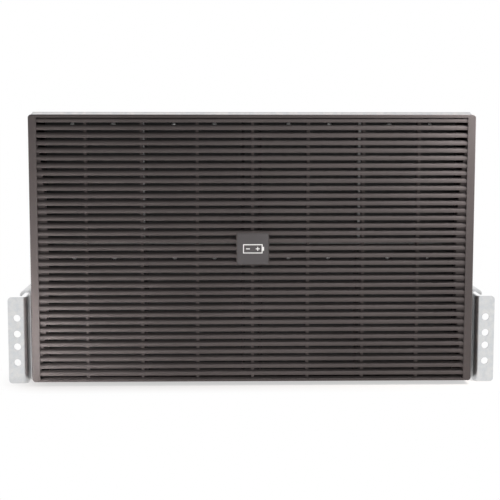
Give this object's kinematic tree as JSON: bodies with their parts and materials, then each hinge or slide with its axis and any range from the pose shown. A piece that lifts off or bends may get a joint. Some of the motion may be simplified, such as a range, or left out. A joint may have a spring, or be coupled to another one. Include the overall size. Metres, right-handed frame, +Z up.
{
  "type": "external ups battery pack",
  "caption": "Rack-mount battery pack for a UPS: a louvred front bezel on a folded steel chassis that holds battery modules, with a rear breaker and sockets, on a pair of rack rails.",
  "frame": {"origin": "Middle of the footprint, on the plane that the rail ledges stand on.", "axes": "+X to the right seen from the front, +Y from the front to the back, +Z up."},
  "size_m": [0.4826, 0.756, 0.268],
  "materials": {
    "bezel_plastic": "dark warm-grey moulded plastic with a fine satin grain",
    "plate_plastic": "cooler dark grey, smooth satin",
    "chassis_steel": "galvanised sheet, pale and slightly warm",
    "module_steel": "black powder coat",
    "battery_case": "black moulded plastic",
    "bright_zinc": "bright zinc plate",
    "connector_plastic": "black moulded plastic",
    "breaker_plastic": "black moulded plastic, satin",
    "toggle_plastic": "dark grey moulded plastic, semi-gloss",
    "rail_steel": "zinc-plated sheet with a faint blue cast"
  },
  "bodies": {
    "pack": {"backplane": "chassis_steel", "backplane_receptacles": "connector_plastic", "battery_blocks_1": "battery_case", "battery_blocks_2": "battery_case", "battery_blocks_3": "battery_case", "battery_blocks_4": "battery_case", "battery_blocks_5": "battery_case", "battery_blocks_6": "battery_case", "battery_blocks_7": "battery_case", "battery_blocks_8": "battery_case", "breaker_body": "breaker_plastic", "centre_plate": "plate_plastic", "chassis_tray": "chassis_steel", "earth_post": "bright_zinc", "front_bezel": "bezel_plastic", "left_front_bracket": "rail_steel", "left_power_socket": "connector_plastic", "left_rail": "rail_steel", "left_rear_bracket": "rail_steel", "lower_centre_post": "module_steel", "lower_left_partition": "module_steel", "lower_right_partition": "module_steel", "middle_shelf": "chassis_steel", "module_handle_1": "module_steel", "module_handle_2": "module_steel", "module_handle_3": "module_steel", "module_handle_4": "module_steel", "module_handle_5": "module_steel", "module_handle_6": "module_steel", "module_handle_7": "module_steel", "module_handle_8": "module_steel", "module_plugs": "connector_plastic", "module_tray_1": "module_steel", "module_tray_2": "module_steel", "module_tray_3": "module_steel", "module_tray_4": "module_steel", "module_tray_5": "module_steel", "module_tray_6": "module_steel", "module_tray_7": "module_steel", "module_tray_8": "module_steel", "rail_bolts": "bright_zinc", "rear_panel": "chassis_steel", "right_front_bracket": "rail_steel", "right_power_socket": "connector_plastic", "right_rail": "rail_steel", "right_rear_bracket": "rail_steel", "signal_jacks": "connector_plastic", "top_cover": "chassis_steel", "upper_centre_post": "module_steel", "upper_left_partition": "chassis_steel", "upper_right_partition": "chassis_steel"},
    "toggle": {"breaker_toggle": "toggle_plastic"}
  },
  "joints": [
    {"name": "toggle_tilt", "type": "hinge", "parent": "pack", "child": "toggle", "pos_m": [-0.15, 0.317, 0.134], "axis": [1, 0, 0], "range_deg": [0, 40]}
  ]
}
